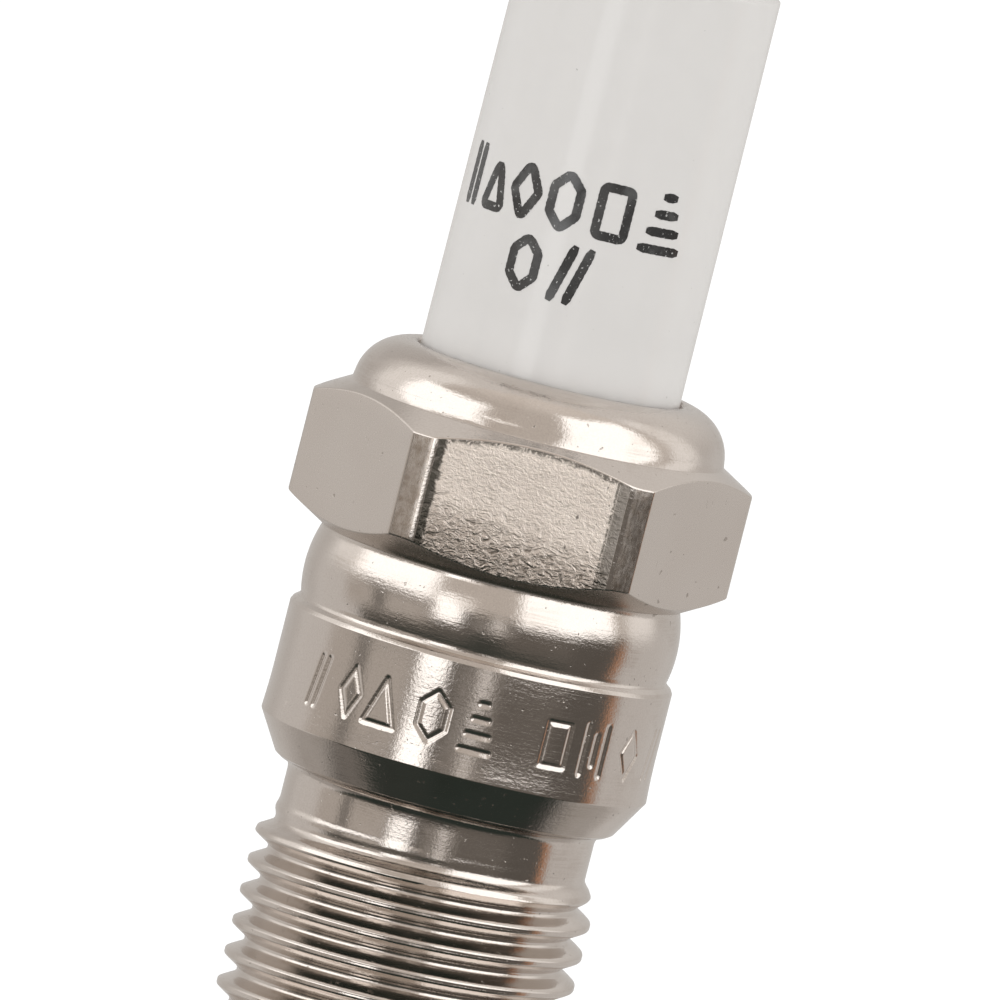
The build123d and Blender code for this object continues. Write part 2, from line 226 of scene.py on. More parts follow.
def spaced(points, step):
    """The same polyline with no stretch longer than step."""
    out = [points[0]]
    for p, q in zip(points, points[1:]):
        count = max(1, math.ceil(math.dist(p, q) / step))
        out += [tuple(p[k] + (q[k] - p[k]) * i / count for k in (0, 1)) for i in range(1, count + 1)]
    return out


def even_angles(count):
    """Angles of evenly spaced columns, from the front, in degrees."""
    return [360.0 * i / count for i in range(count)]


def stitch(low, high):
    """Triangles between two closed rings. Each is a list of (angle, vertex) in rising angle."""
    low, high = (ring + [(ring[0][0] + 360, ring[0][1])] for ring in (low, high))
    steps = [(a, 0) for a, v in low[1:]] + [(a, 1) for a, v in high[1:]]
    faces, i, j = [], 0, 0
    for _, upper in sorted(steps):
        a, b = low[i][1], high[j][1]
        i, j = i + 1 - upper, j + upper
        faces.append((a, high[j][1] if upper else low[i][1], b))
    return faces


class Skin:
    """A surface built up from rings round the axis, with a material index for each face."""

    def __init__(self):
        self.verts, self.faces, self.kinds = [], [], []

    def ring(self, angles, radius, z):
        """Adds a ring. The radius and the height are numbers, or one value for each angle."""
        start = len(self.verts)
        radii, heights = (np.broadcast_to(value, len(angles)) for value in (radius, z))
        self.verts += [polar(*point) for point in zip(radii, angles, heights)]
        return list(zip(angles, range(start, len(self.verts))))

    def join(self, low, high, kind=0):
        """Faces between two rings. The kind is a number, or a function of the angle."""
        if [a for a, v in low] == [a for a, v in high]:
            shifted = zip(low, low[1:] + low[:1], high[1:] + high[:1], high)
            new = [tuple(corner[1] for corner in face) for face in shifted]
        else:
            new = stitch(low, high)
        self.faces += new
        self.kinds += [kind(a) for a, v in low] if callable(kind) else [kind] * len(new)

    def turned(self, angles, profile, last=None, kind=0):
        """Rings of one profile, joined to each other and to the ring before. Returns the last one."""
        for r, z in profile:
            ring = self.ring(angles, r, z)
            if last is not None:
                self.join(last, ring, kind)
            last = ring
        return last

    def cap(self, ring):
        """Closes a ring with one face."""
        self.faces.append(tuple(v for a, v in ring))
        self.kinds.append(0)

    def thread(self, shape, low_z, high_z, trim, columns, kind=0):
        """A right-hand thread between two plane rings, which it returns.

        The trim is a function of radius and height that gives the radius to use there.
        """
        first = math.floor((low_z - shape.crest_z) / shape.pitch) - 1
        turns = math.ceil((high_z - low_z) / shape.pitch) + 3
        place, rows = {}, []
        for row in range(turns * len(PHASES) + 1):
            turn, step = divmod(row, len(PHASES))
            line = []
            for i in range(columns + 1):
                angle = 360.0 * i / columns
                rise = (angle - 90) / 360
                z = shape.crest_z + (first + turn + PHASES[step] + rise) * shape.pitch
                z = min(max(z, low_z), high_z)
                spot = (i % columns, round(z, 5))
                if spot not in place:
                    place[spot] = len(self.verts)
                    full = shape.radius((z - shape.crest_z) / shape.pitch - rise)
                    self.verts.append(polar(trim(full, z), angle, z))
                line.append(place[spot])
            rows.append(line)
        for low, high in zip(rows, rows[1:]):
            for i in range(columns):
                corners = dict.fromkeys((low[i], low[i + 1], high[i + 1], high[i]))
                if len(corners) > 2:
                    self.faces.append(tuple(corners))
                    self.kinds.append(kind)
        ends = (round(low_z, 5), round(high_z, 5))
        return [[(360.0 * c / columns, place[(c, end)]) for c in range(columns)] for end in ends]

    def finish(self, name, materials, sharp=45.0):
        """The skin as an object with its materials."""
        obj = mesh_object(name, self.verts, self.faces, materials, sharp=sharp)
        if len(self.kinds) != len(obj.data.polygons):
            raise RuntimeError(f"{name}: the mesh lost faces")
        obj.data.polygons.foreach_set("material_index", self.kinds)
        return obj


# Where a thread's turn has its rows, closer together near the crest than in the groove
PHASES = (0.0, 0.03, 0.06, 0.10, 0.18, 0.27, 0.36, 0.44, 0.56, 0.64, 0.73, 0.82, 0.90, 0.94, 0.97)
SEAM_HALF = 0.035


@dataclass
class Thread:
    """Shape of a 60 degree thread. Its crest crosses the +X axis at crest_z.

    A rolled thread has a fine seam along its crest.
    """

    major: float
    root: float
    pitch: float
    crest_z: float
    crest_half: float
    crest_round: float = 0.05
    root_round: float = 0.08
    seam: float = 0.0

    def radius(self, phase):
        """Radius at a phase, where each whole number is the middle of a crest."""
        away = abs((phase + 0.5) % 1 - 0.5) * self.pitch
        over = max(away - self.crest_half, 0.0)
        down = math.hypot(over, self.crest_round) - self.crest_round
        seam = self.seam * max(0.0, 1 - away / SEAM_HALF)
        r = self.major - down / math.tan(math.radians(30)) - seam
        h = min(max(0.5 + 0.5 * (r - self.root) / self.root_round, 0.0), 1.0)
        return self.root * (1 - h) + r * h + self.root_round * h * (1 - h)


def lathe(name, profile, columns, material, closed=False, sharp=50.0):
    """A turned piece. Points of the profile on the axis become one vertex."""
    verts, rings = [], []
    for r, z in profile:
        angles = even_angles(columns if r > 0 else 1)
        rings.append([len(verts) + i for i in range(len(angles))])
        verts += [polar(r, a, z) for a in angles]
    faces = []
    for low, high in zip(rings, rings[1:] + rings[:1] if closed else rings[1:]):
        for i in range(columns):
            sides = [(ring[i % len(ring)], ring[(i + 1) % len(ring)]) for ring in (low, high)]
            faces.append(tuple(dict.fromkeys((*sides[0], *sides[1][::-1]))))
    return mesh_object(name, verts, faces, [material], sharp=sharp)


# ---- material helpers
class Nodes:
    """The node tree of a material or the world, with short calls for the nodes used here."""

    def __init__(self, owner):
        owner.use_nodes = True
        self.owner = owner
        self.tree = owner.node_tree
        self.tree.nodes.clear()

    def add(self, kind, inputs=(), **values):
        """The outputs of a new node. Its inputs are listed in order, or given by number or name."""
        node = self.tree.nodes.new(kind)
        for key, value in values.items():
            setattr(node, key, value)
        for key, value in inputs.items() if isinstance(inputs, dict) else enumerate(inputs):
            if isinstance(value, bpy.types.NodeSocket):
                self.tree.links.new(value, node.inputs[key])
            elif value is not None:
                node.inputs[key].default_value = value
        return node.outputs

    def math(self, operation, *values, clamp=False):
        return self.add("ShaderNodeMath", values, operation=operation, use_clamp=clamp)[0]

    def times(self, a, b):
        return self.math("MULTIPLY", a, b)

    def plus(self, a, b):
        return self.math("ADD", a, b)

    def minus(self, a, b):
        return self.math("SUBTRACT", a, b)

    def most(self, a, b):
        return self.math("MAXIMUM", a, b)

    def mix(self, factor, a, b):
        """Colour a where the factor is zero, and b where it is one."""
        return self.add("ShaderNodeMix", {0: factor, 6: a, 7: b}, data_type="RGBA")[2]

    def ramp(self, value, low, high, to_low=0.0, to_high=1.0):
        """A smooth step of the value, from to_low at low to to_high at high."""
        values = (value, low, high, to_low, to_high)
        return self.add("ShaderNodeMapRange", values, interpolation_type="SMOOTHSTEP")[0]

    def band(self, value, low, high, soft):
        """One between low and high, falling to zero over soft on each side."""
        rise = self.ramp(value, low - soft, low + soft)
        return self.times(rise, self.ramp(value, high - soft, high + soft, 1.0, 0.0))

    def noise(self, scale, detail=3.0, roughness=0.5, distortion=0.0, vector=None):
        """Cloudy noise over the piece. The scale is a number, or one for each axis."""
        vector = vector or self.place
        if isinstance(scale, tuple):
            vector = self.add("ShaderNodeVectorMath", (vector, scale), operation="MULTIPLY")[0]
            scale = 1.0
        values = {"Scale": scale, "Detail": detail, "Roughness": roughness, "Distortion": distortion}
        return self.add("ShaderNodeTexNoise", {"Vector": vector, **values})[0]

    def split(self, vector):
        """The x, y and z of a vector."""
        return self.add("ShaderNodeSeparateXYZ", (vector,))

    def from_axis(self, x, y):
        """Distance from the plug's axis."""
        return self.math("SQRT", self.plus(self.times(x, x), self.times(y, y)))

    def bump(self, height, strength, distance_mm, normal=None):
        """The normal of a relief, over the normal of an earlier one."""
        values = {"Height": height, "Strength": strength, "Distance": distance_mm * MM, "Normal": normal}
        return self.add("ShaderNodeBump", values)[0]

    def surface(self, colour, roughness, normal=None, metallic=0.0, **others):
        """Ends a material with its Principled shader, and returns the material."""
        values = {"Base Color": colour, "Roughness": roughness, "Metallic": metallic, "Normal": normal}
        shader = self.add("ShaderNodeBsdfPrincipled", {**values, **others})
        self.add("ShaderNodeOutputMaterial", (shader[0],))
        return self.owner


def new_material(name):
    """The node tree of a new material, whose place is the object coordinates in millimetres."""
    tree = Nodes(bpy.data.materials.new(name))
    metres = tree.add("ShaderNodeTexCoord")["Object"]
    tree.place = tree.add("ShaderNodeVectorMath", {0: metres, "Scale": 1 / MM}, operation="SCALE")[0]
    return tree


def shade(colour, level):
    """A colour made darker or lighter."""
    return tuple(min(1.0, c * level) for c in colour) + (1,)


NICKEL = (0.660, 0.602, 0.554, 1)
NICKEL_STAIN = (0.46, 0.39, 0.33, 1)
GRIME = (0.30, 0.26, 0.22, 1)


def turned_nickel(name, lines=1.0, marks=1.0, stained_edge=False):
    """Bright nickel plate over a turned surface: lines round the axis, fine grain, small nicks.

    A stained edge has a broken brown line, where the crimped lip meets the ceramic.
    """
    tree = new_material(name)
    x, y, z = tree.split(tree.place)
    radius = tree.from_axis(x, y)
    # Each height and radius has its own lines, so they run round the axis on cones too
    around = tree.add("ShaderNodeCombineXYZ", (x, y, tree.plus(z, radius)))[0]
    streaks = tree.noise((0.4, 0.4, 15), 3, 0.65, vector=around)
    ragged = tree.noise((2.2, 2.2, 8), 2, vector=around)
    fine = tree.noise(9, 3, 0.6)
    cloud = tree.noise(0.45, 4)
    nicks = tree.ramp(tree.noise(5, 2, 0.4), 0.72, 0.77)
    speckle = tree.ramp(tree.noise(13, 2, 0.6), 0.60, 0.36)
    stain = tree.times(tree.ramp(cloud, 0.50, 0.72), tree.ramp(streaks, 0.40, 0.62, 0.25, 0.8))
    colour = tree.mix(tree.times(stain, 0.5), NICKEL, NICKEL_STAIN)
    colour = tree.mix(tree.times(speckle, 0.08), colour, GRIME)
    colour = tree.mix(tree.times(nicks, 0.5), colour, (0.25, 0.22, 0.19, 1))
    if stained_edge:
        broken = tree.ramp(tree.noise((1.3, 1.3, 5), 4, 0.7, vector=around), 0.44, 0.60)
        crevice = tree.ramp(radius, 5.50, 5.40)
        beside = tree.times(tree.ramp(radius, 5.95, 5.38), 0.5)
        edge = tree.times(broken, tree.plus(crevice, beside))
        colour = tree.mix(tree.math("MULTIPLY", edge, 0.9, clamp=True), colour, (0.19, 0.13, 0.095, 1))
    rough = tree.ramp(streaks, 0.3, 0.7, 0.08, 0.14)
    normal = tree.bump(streaks, 0.5, 0.005 * lines)
    normal = tree.bump(ragged, 0.5, 0.008 * lines, normal)
    normal = tree.bump(fine, 0.5, 0.010 * marks, normal)
    normal = tree.bump(nicks, 0.5, -0.02 * marks, normal)
    rough = tree.plus(rough, tree.times(stain, 0.08))
    return tree.surface(colour, rough, normal, metallic=1)


def corner_nickel(name):
    """The hexagon's narrow turned corners: brushed along the axis, with brown stains."""
    tree = new_material(name)
    brushed = tree.noise((9, 9, 1.6), 3, 0.6)
    mottle = tree.noise(3, 4, 0.7)
    stain = tree.ramp(mottle, 0.36, 0.70)
    colour = tree.mix(stain, (0.60, 0.54, 0.49, 1), (0.43, 0.365, 0.31, 1))
    rough = tree.ramp(brushed, 0.3, 0.7, 0.20, 0.30)
    normal = tree.bump(mottle, 0.5, 0.012, tree.bump(brushed, 0.6, 0.010))
    return tree.surface(colour, rough, normal, metallic=1)


def grained_nickel(name):
    """The hexagon's front flat: crinkled plate, coarse below and fine above, painted lighter than plain
    nickel, with painted shade towards the bottom and in its pits and valleys.

    The step at its left edge and the lines along its other edges are near-black.
    """
    tree = new_material(name)
    x, y, z = tree.split(tree.place)
    slanted = tree.math("MULTIPLY_ADD", x, 0.12, z)
    low = tree.ramp(slanted, 11.6, 9.2)
    crinkle = tree.noise((2.6, 2.6, 4.2), 3, 0.6, distortion=0.8)
    wander = tree.minus(crinkle, 0.5)
    grain = tree.noise(8, 3, 0.65)
    cloud = tree.noise(0.7)

    # Near-black along the left, right and top edges, and in a few deep pocks
    left = tree.band(tree.math("MULTIPLY_ADD", wander, 0.5, x), -4.10, -3.50, 0.07)
    left = tree.times(left, tree.ramp(crinkle, 0.3, 0.5, 0.80, 0.97))
    right = tree.times(tree.band(x, 3.46, 3.90, 0.05), 0.70)
    groove = tree.times(tree.band(x, 3.36, 3.46, 0.03), tree.ramp(grain, 0.38, 0.55))
    pocks = tree.times(tree.ramp(tree.noise(3.2, 1), 0.70, 0.74), tree.ramp(x, 0.5, 2.6))
    above = tree.plus(z, tree.times(tree.from_axis(x, y), HEX_CHAMFER_SLOPE))
    above = tree.math("MULTIPLY_ADD", wander, 0.5, above)
    edge = HEX_TOP[1] + HEX_TOP[0] * HEX_CHAMFER_SLOPE
    top = tree.times(tree.ramp(above, edge - 0.30, edge - 0.13), tree.ramp(grain, 0.34, 0.50))
    rim = tree.most(right, tree.times(top, 0.85))
    rim = tree.most(rim, tree.times(tree.most(groove, pocks), 0.8))
    rim = tree.most(rim, left)

    # Painted shade in the pits and in the valleys of the crinkles, the hollows of the bump relief
    pits = tree.ramp(grain, 0.31, 0.24)
    valleys = tree.times(tree.ramp(crinkle, 0.42, 0.32), tree.plus(low, 0.45))
    painted_hollow_shade = tree.most(tree.times(pits, 0.8), tree.times(valleys, 0.5))
    # Painted light: this plate colour is lighter than the nickel of the other flats
    tint = tree.mix(tree.ramp(cloud, 0.35, 0.65), (0.82, 0.735, 0.665, 1), (0.88, 0.795, 0.72, 1))
    # Painted reflection of the dark front: darker towards the bottom
    tint = tree.mix(tree.times(low, 0.9), tint, (0.52, 0.45, 0.395, 1))
    tint = tree.mix(painted_hollow_shade, tint, (0.14, 0.11, 0.085, 1))
    tint = tree.mix(rim, tint, (0.078, 0.072, 0.060, 1))
    rough = tree.ramp(low, 0, 1, 0.42, 0.28)
    rough = tree.plus(rough, tree.ramp(grain, 0.3, 0.7, 0.05, -0.05))

    # The flat is very slightly crowned, so its upper part faces up a little
    rise = tree.most(tree.minus(slanted, FLAT_CROWN_Z), 0)
    over = tree.most(tree.minus(rise, FLAT_CROWN_HEIGHT), 0)
    crown = tree.minus(tree.times(over, over), tree.times(rise, rise))
    normal = tree.bump(tree.times(crown, FLAT_CROWN), 1, 1)
    normal = tree.bump(tree.times(crinkle, tree.plus(low, 0.35)), 0.9, 0.10, normal)
    normal = tree.bump(grain, 0.8, 0.030, normal)
    return tree.surface(tint, rough, normal, metallic=1)


def satin_nickel(name):
    """The hexagon's other flats: an even satin plate with rare small dents and fine scratches."""
    tree = new_material(name)
    cloud = tree.noise(0.4, 2)
    grain = tree.noise(10, 2)
    dents = tree.ramp(tree.noise(2.2, 1, 0.3), 0.765, 0.785)
    scratches = tree.ramp(tree.noise((7, 7, 1.1), 1), 0.755, 0.77)
    tint = tree.mix(tree.ramp(cloud, 0.3, 0.7), (0.648, 0.588, 0.540, 1), NICKEL)
    normal = tree.bump(grain, 0.5, 0.001)
    tint = tree.mix(tree.times(dents, 0.6), tint, GRIME)
    rough = tree.ramp(grain, 0.3, 0.7, 0.27, 0.29)
    normal = tree.bump(tree.most(dents, scratches), 0.5, -0.02, normal)
    return tree.surface(tint, rough, normal, metallic=1)


def glazed_alumina(name):
    """White glazed ceramic, with painted light near the lip, a faint waviness and rare specks."""
    tree = new_material(name)
    z = tree.split(tree.place)[2]
    wave = tree.noise(0.5, 2)
    cloud = tree.noise(0.8)
    speck = tree.ramp(tree.noise(6, 1), 0.80, 0.82)
    body = tree.mix(tree.ramp(cloud, 0.3, 0.7), (0.662, 0.642, 0.619, 1), (0.670, 0.650, 0.627, 1))
    # Painted light: the glaze is lighter near the lip, standing in for light the lip reflects onto it
    body = tree.mix(tree.ramp(z, 19, 15.6), body, (0.745, 0.725, 0.702, 1))
    body = tree.mix(tree.times(speck, 0.6), body, (0.25, 0.23, 0.2, 1))
    rough = tree.ramp(cloud, 0.3, 0.7, 0.14, 0.17)
    return tree.surface(body, rough, tree.bump(wave, 0.3, 0.02), IOR=1.45)


def printed_ink(name):
    """Black ink with a slight gloss, fired on, with pinholes and thin places."""
    tree = new_material(name)
    pinholes = tree.ramp(tree.noise(7.5, 2, 0.7), 0.655, 0.70)
    thin = tree.ramp(tree.noise(1.1, 2), 0.45, 0.75)
    body = tree.mix(thin, (0.018, 0.018, 0.018, 1), (0.055, 0.055, 0.053, 1))
    body = tree.mix(pinholes, body, (0.55, 0.54, 0.52, 1))
    rough = tree.ramp(thin, 0, 1, 0.22, 0.35)
    return tree.surface(body, rough, tree.bump(pinholes, 0.5, -0.01), IOR=1.9)


def plain_metal(name, colour, roughness, grain):
    """A small metal piece: cloudy tone, fine grain and lines round the axis."""
    tree = new_material(name)
    x, y, z = tree.split(tree.place)
    cloud = tree.noise(1.2, 4)
    fine = tree.noise(11)
    level = tree.times(tree.plus(z, tree.from_axis(x, y)), 14)
    around = tree.add("ShaderNodeCombineXYZ", (x, y, level))[0]
    drawn = tree.noise(1, 2, vector=around)
    tint = tree.mix(tree.ramp(cloud, 0.3, 0.7), shade(colour, 0.82), shade(colour, 1.12))
    rough = tree.ramp(fine, 0.2, 0.8, roughness * 0.8, roughness * 1.2)
    normal = tree.bump(fine, 0.5, 0.012 * grain, tree.bump(drawn, 0.5, 0.005))
    return tree.surface(tint, rough, normal, metallic=1)


def mineral(name, colour, roughness):
    """Pressed powder or sintered glass: a matt body with coarse and fine grains."""
    tree = new_material(name)
    coarse = tree.noise(2.5, 4, 0.7)
    fine = tree.noise(14, 3, 0.7)
    tint = tree.mix(tree.ramp(coarse, 0.3, 0.7), shade(colour, 0.7), shade(colour, 1.2))
    rough = tree.ramp(fine, 0.2, 0.8, roughness * 0.85, roughness * 1.1)
    return tree.surface(tint, rough, tree.bump(fine, 0.6, 0.04))


# ---- generic marks
# Plain geometric signs, as strokes in a square of one unit: no letters or figures.
DIAMOND = [[(0.5, 0), (1, 0.5), (0.5, 1), (0, 0.5), (0.5, 0)]]
SLASHES = [[(0, 0), (0.45, 1)], [(0.55, 0), (1, 1)]]
HEXAGON = [[(0.5, 0), (1, 0.27), (1, 0.73), (0.5, 1), (0, 0.73), (0, 0.27), (0.5, 0)]]
STEPS = [[(0.13 * i, 0.02 + 0.32 * i), (1 - 0.13 * i, 0.02 + 0.32 * i)] for i in range(4)]
TRIANGLE = [[(0, 0.03), (1, 0.03), (0.5, 0.97), (0, 0.03)]]
SQUARE = [[(0, 0.06), (1, 0.06), (1, 0.94), (0, 0.94), (0, 0.06)]]
BARS = [[(0, 0), (0, 1)], [(0.5, 0.2), (0.5, 0.8)], [(1, 0), (1, 1)]]
POSTS = [[(0, 0), (0, 1)], [(1, 0), (1, 1)]]

STAMP_HEIGHT = 1.95
STAMP_STROKE = 0.34
STAMP_DEPTH = 0.05
STAMP_Z = 2.76
STAMP_REACH = 1.26
# Each sign's middle, as an angle from the front, its width in millimetres and its strokes
STAMPS = (
    (-50.8, 0.75, SLASHES),
    (-37.5, 0.95, DIAMOND),
    (-26.4, 1.35, TRIANGLE),
    (-10.4, 1.1, HEXAGON),
    (3.4, 1.15, STEPS),
    (27.5, 1.0, SQUARE),
    (41.2, 1.05, BARS),
    (57.5, 1.2, DIAMOND),
    (73.5, 1.1, SLASHES),
)


def stroke_distance(place, strokes, width, height):
    """Distance in millimetres from places to the nearest stroke of a sign, as complex numbers."""
    best = np.full(place.shape, 1e9)
    for line in strokes:
        ends = [complex((x - 0.5) * width, (y - 0.5) * height) for x, y in line]
        for a, b in zip(ends, ends[1:]):
            share = np.clip(((place - a) / (b - a)).real, 0, 1)
            best = np.minimum(best, np.abs(place - a - share * (b - a)))
    return best


def stamp_height(angles, z):
    """Height in millimetres that the stamped signs add to the collar at one level."""
    height = np.zeros(len(angles))
    for middle, width, strokes in STAMPS:
        around = np.radians((angles - middle + 180) % 360 - 180) * COLLAR_R
        d = stroke_distance(around + 1j * (z - STAMP_Z), strokes, width, STAMP_HEIGHT)
        d = np.clip(d / (STAMP_STROKE / 2), 0, 1)
        height -= STAMP_DEPTH * (0.5 + 0.5 * np.cos(math.pi * d))
    return height


# ---- shell
TURNED, FRONT_FLAT, SIDE_FLAT, CORNER, LIP, THREADED = range(6)
# Angles from a flat's middle, in degrees, where its own finish ends and the corner's begins
FRONT_FLAT_HALF = 26.0
SIDE_FLAT_HALF = 25.4
CORNER_FROM = 27.2


def hex_columns():
    """Angles of the hexagon's columns, with more beside each edge of a turned corner."""
    half_strip = math.degrees(math.acos(HEX_FLAT_R / HEX_CORNER_R)) - 30
    edges = [30 + 60 * k + side * half_strip for k in range(6) for side in (-1, 1)]
    close = [(e + d) % 360 for e in edges for d in (-1.5, -1.0, -0.6, -0.3, 0.0, 0.3, 0.6, 1.0, 1.5)]
    plain = [a for a in even_angles(180) if min(abs((a - c + 180) % 360 - 180) for c in close) > 0.4]
    return np.sort(close + plain)


def hex_radius(angle):
    """Radius of the hexagon, whose corners are turned and whose edges are softly rounded.

    The front flat also falls away a little towards both of its edges.
    """
    turn = (angle + 30) % 60 - 30
    flat = HEX_FLAT_R / np.cos(np.radians(turn))
    front = np.abs((angle + 180) % 360 - 180) < 30
    across = np.abs(HEX_FLAT_R * np.tan(np.radians(turn)))
    flat = flat - np.where(front, np.maximum(across - FLAT_SHOULDER, 0.0) ** 2 / FLAT_SHOULDER_BEND, 0.0)
    soft = np.where(front, 0.09, 0.035)
    h = np.clip(0.5 + 0.5 * (HEX_CORNER_R - flat) / soft, 0, 1)
    return HEX_CORNER_R * (1 - h) + flat * h - soft * h * (1 - h)


def hex_side(radius, rows):
    """Half-section of the hexagon at one column: under chamfer, side and top chamfer."""
    low_z = HEX_UNDER[1] + (radius - HEX_UNDER[0]) * HEX_CHAMFER_SLOPE
    high_z = HEX_TOP[1] - (radius - HEX_TOP[0]) * HEX_CHAMFER_SLOPE
    outline = rounded([HEX_UNDER, (radius, low_z), (radius, high_z), HEX_TOP], [0.10, 0.10])
    low, high = outline[5:7]
    side = [(radius, z) for z in np.linspace(low[1], high[1], rows + 1)]
    return outline[:5] + side + outline[7:]


def seat_radius(z):
    """Radius of the sealing cone."""
    return SEAT_GAUGE_R + z * SEAT_SLOPE


def collar_radius(z):
    """Radius of the collar, which is a little wider at its foot."""
    share = (COLLAR_FLARE_Z - z) / (COLLAR_FLARE_Z - SEAT_TOP_Z)
    return COLLAR_R + (seat_radius(SEAT_TOP_Z) - COLLAR_R) * max(share, 0.0) ** 2


def flat_kind(angle):
    """Material of the hexagon's side at one angle."""
    turn = abs((angle + 30) % 60 - 30)
    if abs((angle + 180) % 360 - 180) < FRONT_FLAT_HALF:
        return FRONT_FLAT
    if turn > CORNER_FROM:
        return CORNER
    return SIDE_FLAT if turn < SIDE_FLAT_HALF else TURNED


def build_shell():
    """The shell, from its thread up over the lip and down through its bore."""
    skin = Skin()
    columns = hex_columns()
    plain = even_angles(120)

    # Threaded reach, then the shank and its fillet under the seat
    end_z = -REACH + 0.1
    shape = Thread(THREAD_R, THREAD_ROOT_R, THREAD_PITCH, THREAD_CREST_Z, 0.085, seam=0.006)

    def trim(radius, z):
        """Lets the thread run out below the shank, and chamfers its free end."""
        share = min(max((THREAD_TOP_Z - z) / THREAD_RUNOUT, 0.0), 1.0)
        grown = THREAD_ROOT_R + (radius - THREAD_ROOT_R) * share * share * (3 - 2 * share)
        return min(grown, THREAD_R - END_CHAMFER + max(0.0, z + REACH))

    low_ring, high_ring = skin.thread(shape, end_z, SHANK_Z, trim, len(plain), THREADED)
    fillet = (THREAD_ROOT_R + SHANK_FILLET, SHANK_TOP_Z - SHANK_FILLET)
    last = skin.turned(plain, arc(fillet, SHANK_FILLET, 180, 92, 5), high_ring)

    # Sealing cone and the plain foot of the collar
    stamps_low, stamps_high = STAMP_Z - STAMP_REACH, STAMP_Z + STAMP_REACH
    cone = [(fillet[0] + 0.02, SHANK_TOP_Z)]
    cone += [(seat_radius(z), z) for z in (SEAT_FOOT_Z, SEAT_TOP_Z)]
    cone += [(collar_radius(z), z) for z in (1.08, stamps_low - 0.02)]
    cone = rounded(cone, [0.08, 0.14, 0.3], steps=5)
    last = skin.turned(columns, spaced(cone, 0.7), last)

    # Collar with its stamped signs, on finer columns at the front
    fine = np.sort(np.append(np.arange(-62.0, 84.0, 0.34) % 360, np.arange(84.5, 297.0, 2.5)))
    levels = np.linspace(stamps_low, stamps_high, 51)
    last = skin.turned(fine, [(collar_radius(z) + stamp_height(fine, z), z) for z in levels], last)

    # Collar's top edge, buckle ring and hexagon
    edge = [(COLLAR_R, stamps_high + 0.05), (COLLAR_R, COLLAR_TOP_Z), *COLLAR_STEP, BUCKLE[0]]
    edge = rounded(edge, [0.07, 0.08, 0.05], steps=3)
    last = skin.turned(columns, edge + arc_through(*BUCKLE, 14)[1:], last)
    rows = np.array([hex_side(r, 8) for r in hex_radius(columns)]).transpose(1, 2, 0)
    parts = ((rows[:3], SIDE_FLAT), (rows[3:5], TURNED), (rows[5:-5], flat_kind), (rows[-5:], TURNED))
    for part, kind in parts:
        last = skin.turned(columns, part, last, kind)

    # Crimped lip, over the top and down its inner edge
    bend = arc(LIP_CENTRE, LIP_BEND, LIP_FOOT_SLOPE, 92, 22)
    foot_z = HEX_TOP[1] + 0.02
    foot = (bend[0][0] + (bend[0][1] - foot_z) * math.tan(math.radians(LIP_FOOT_SLOPE)), foot_z)
    inner = [bend[-1], LIP_CHAMFER, (LIP_EDGE_R, LIP_EDGE_Z), (LIP_EDGE_R, 15.3)]
    last = skin.turned(columns, [foot] + bend + rounded(inner, [0.05, 0.10])[1:], last, LIP)

    # Bore behind the lip, ledge, firing bore and end face
    inside = [(5.45, 15.09), (6.12, 14.85), (LIP_BORE_R, 14.25), (LIP_BORE_R, 13.9), (UPPER_BORE_R, 13.6)]
    inside += [(UPPER_BORE_R, 3.0), (NOSE_BORE_R, 1.35), (NOSE_BORE_R, -11.5)]
    inside += [(LEDGE_R, -11.79), (LEDGE_R, -13.8), (FIRING_BORE_R, -14.35), (FIRING_BORE_R, end_z)]
    inside += [(FIRING_BORE_R + 0.1, -REACH), (THREAD_R - END_CHAMFER - 0.05, -REACH)]
    last = skin.turned(plain, inside, last)
    skin.join(last, low_ring)

    materials = (
        turned_nickel("nickel_turned"),
        grained_nickel("nickel_grained_flat"),
        satin_nickel("nickel_satin_flat"),
        corner_nickel("nickel_corner"),
        turned_nickel("nickel_lip", lines=1.8, stained_edge=True),
        turned_nickel("nickel_thread", lines=0.6),
    )
    obj = skin.finish("shell_body", materials)
    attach(obj, BODY)
    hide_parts("shell")


# ---- insulator
def barrel_radius(z):
    """Radius of the insulator's slightly tapered barrel."""
    share = (z - CERAMIC_TAPER_Z) / (CERAMIC_TOP_Z - CERAMIC_TOP_ROUND - CERAMIC_TAPER_Z)
    return CERAMIC_R + (CERAMIC_TOP_R - CERAMIC_R) * min(max(share, 0.0), 1.0)


